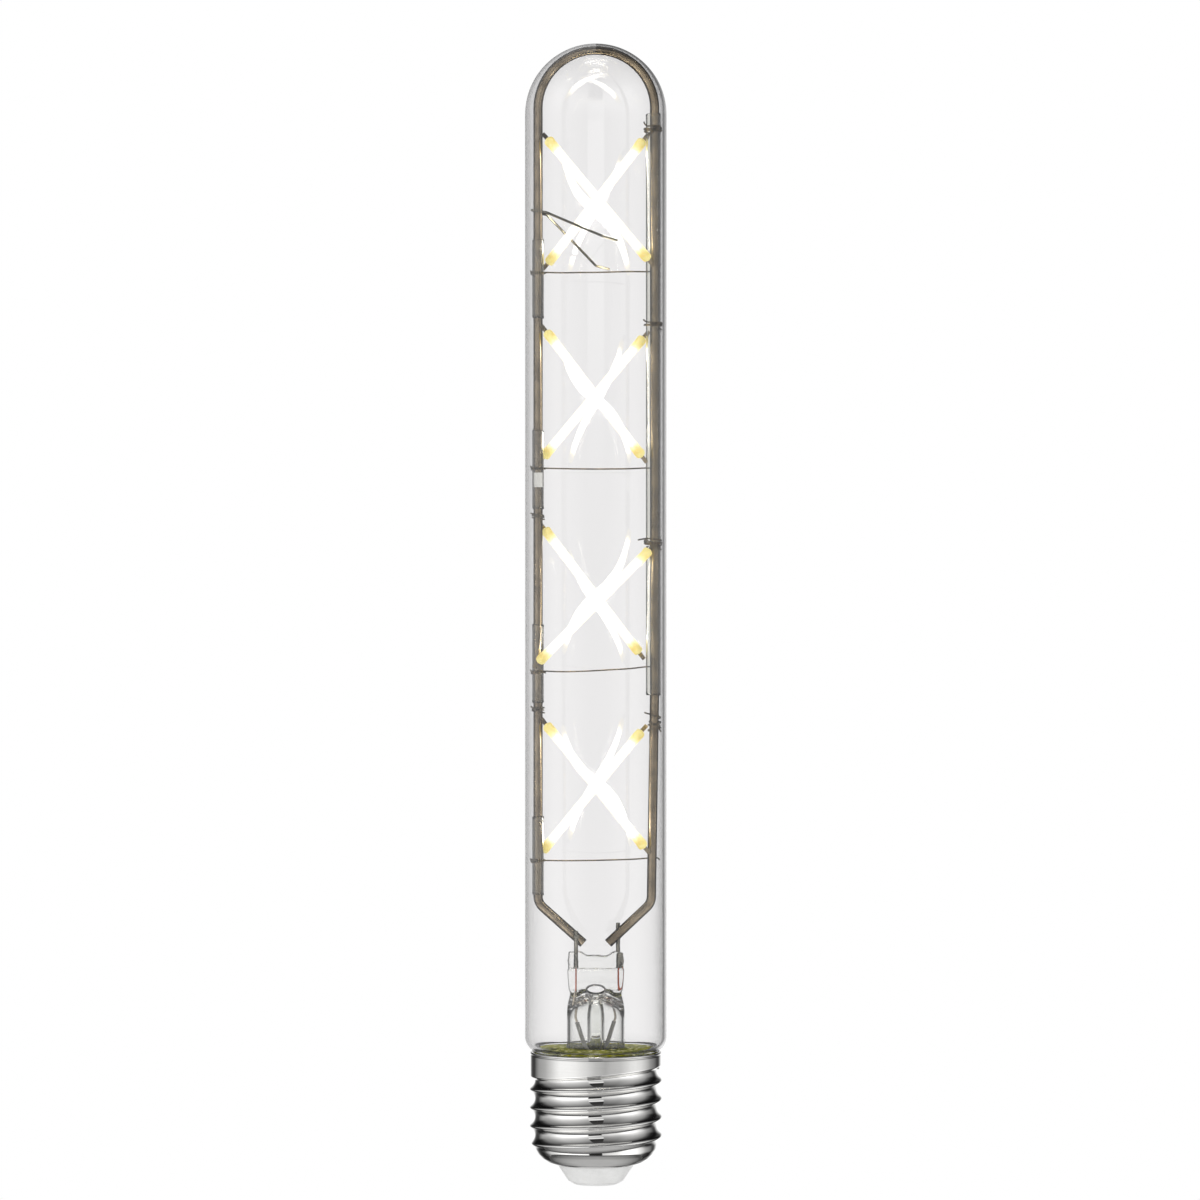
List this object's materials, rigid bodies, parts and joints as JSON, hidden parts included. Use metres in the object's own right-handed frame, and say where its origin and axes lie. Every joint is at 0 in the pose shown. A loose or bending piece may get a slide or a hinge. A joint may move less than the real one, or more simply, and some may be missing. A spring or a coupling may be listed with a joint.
{
  "type": "tubular light bulb",
  "caption": "Clear tubular filament-style LED lamp: a domed glass tube on a threaded screw cap, with a wire frame inside that holds crosses of lit light strips.",
  "frame": {"origin": "centre of the centre contact's lower face", "axes": "+Z along the lamp's axis to the top of the dome, +X to the right and -Y towards the viewer in the picture"},
  "size_m": [0.028, 0.028, 0.2255],
  "materials": {
    "clear_glass": "clear, smooth, thin blown tube",
    "stem_glass": "clear, pressed",
    "sleeve_glass": "clear thin sleeve, slightly grey",
    "rod_nickel": "nickel-plated, satin",
    "lead_nickel": "bare nickel, satin",
    "seal_copper": "copper-clad, red through the glass",
    "outer_lead_metal": "tinned, dull",
    "lead_sleeving": "woven glass sleeving",
    "light_coat": "phosphor in silicone, lit white with yellow ends",
    "carrier_metal": "thin metal strip",
    "thin_wire": "thin bare wire",
    "spring_wire": "hard wire, olive tarnish",
    "cap_nickel": "nickel-plated, polished, rolled",
    "cap_ceramic": "white, smooth",
    "contact_metal": "tinned",
    "cement": "olive, speckled, baked cement",
    "board": "bare laminate",
    "component_plastic": "moulded, matte",
    "capacitor_can": "shrink sleeve",
    "resistor_body": "lacquered",
    "link_wire": "tinned",
    "solder": "dull solder"
  },
  "bodies": {
    "root": {"glass_envelope": "clear_glass", "glass_stem": "stem_glass", "left_sleeve_1": "sleeve_glass", "left_sleeve_2": "sleeve_glass", "left_sleeve_3": "sleeve_glass", "left_sleeve_4": "sleeve_glass", "right_sleeve_upper": "sleeve_glass", "right_sleeve_lower": "sleeve_glass", "frame_rod_main": "rod_nickel", "frame_rod_lower_left": "rod_nickel", "inner_lead_left": "lead_nickel", "inner_lead_right": "lead_nickel", "seal_wire_left": "seal_copper", "seal_wire_right": "seal_copper", "outer_lead_left": "outer_lead_metal", "outer_lead_right": "outer_lead_metal", "lead_sleeve_left": "lead_sleeving", "lead_sleeve_right": "lead_sleeving", "filament_1a": "light_coat", "filament_1b": "light_coat", "filament_2a": "light_coat", "filament_2b": "light_coat", "filament_3a": "light_coat", "filament_3b": "light_coat", "filament_4a": "light_coat", "filament_4b": "light_coat", "filament_carrier_1a": "carrier_metal", "filament_carrier_1b": "carrier_metal", "filament_carrier_2a": "carrier_metal", "filament_carrier_2b": "carrier_metal", "filament_carrier_3a": "carrier_metal", "filament_carrier_3b": "carrier_metal", "filament_carrier_4a": "carrier_metal", "filament_carrier_4b": "carrier_metal", "cross_wire_1": "thin_wire", "cross_wire_2": "thin_wire", "cross_wire_3": "thin_wire", "cross_wire_4": "thin_wire", "tie_wire_1": "thin_wire", "tie_wire_2": "thin_wire", "tie_wire_3": "thin_wire", "tie_wire_4": "thin_wire", "left_tie_3": "thin_wire", "left_tie_4": "thin_wire", "centring_spring": "spring_wire", "cap_shell": "cap_nickel", "cap_insulator": "cap_ceramic", "centre_contact": "contact_metal", "basing_cement": "cement", "driver_board": "board", "rectifier": "component_plastic", "driver_chip": "component_plastic", "capacitor": "capacitor_can", "fuse_resistor": "resistor_body", "centre_contact_wire": "link_wire", "side_contact_wire": "link_wire", "collar_solder": "solder"}
  },
  "joints": []
}
